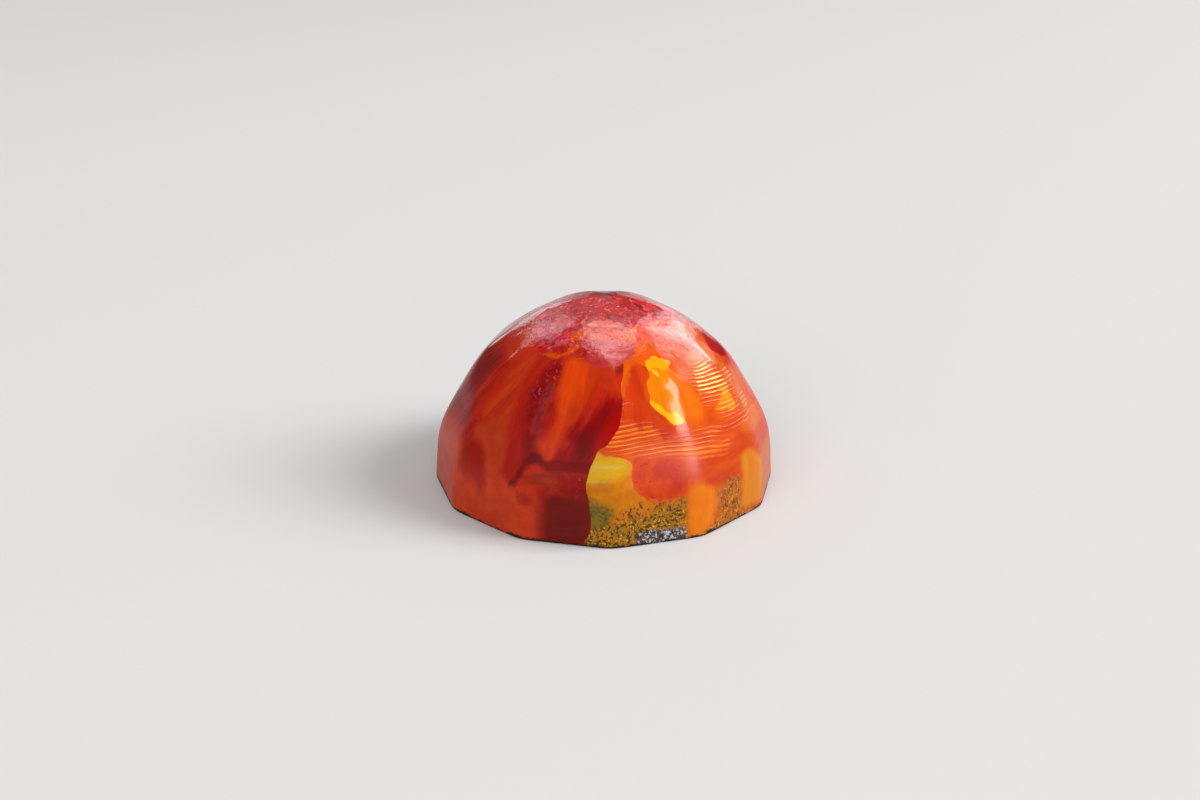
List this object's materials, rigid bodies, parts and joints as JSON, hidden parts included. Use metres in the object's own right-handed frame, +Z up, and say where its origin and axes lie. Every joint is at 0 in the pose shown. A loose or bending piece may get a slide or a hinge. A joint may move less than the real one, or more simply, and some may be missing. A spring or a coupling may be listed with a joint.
{
  "type": "chocolate praline",
  "caption": "Moulded chocolate praline: a facetted dome on a flat many-sided foot, with a glossy hand-painted coat in orange, red and yellow.",
  "frame": {"origin": "centre of the flat foot, on the surface that the praline stands on", "axes": "+Z up along the dome's axis; a ridge between two side faces points along -Y"},
  "size_m": [0.03, 0.03, 0.0168],
  "materials": {
    "painted_shell": "dark chocolate under a thin, glossy, hand-painted coat of coloured cocoa butter"
  },
  "bodies": {
    "root": {"praline": "painted_shell"}
  },
  "joints": []
}
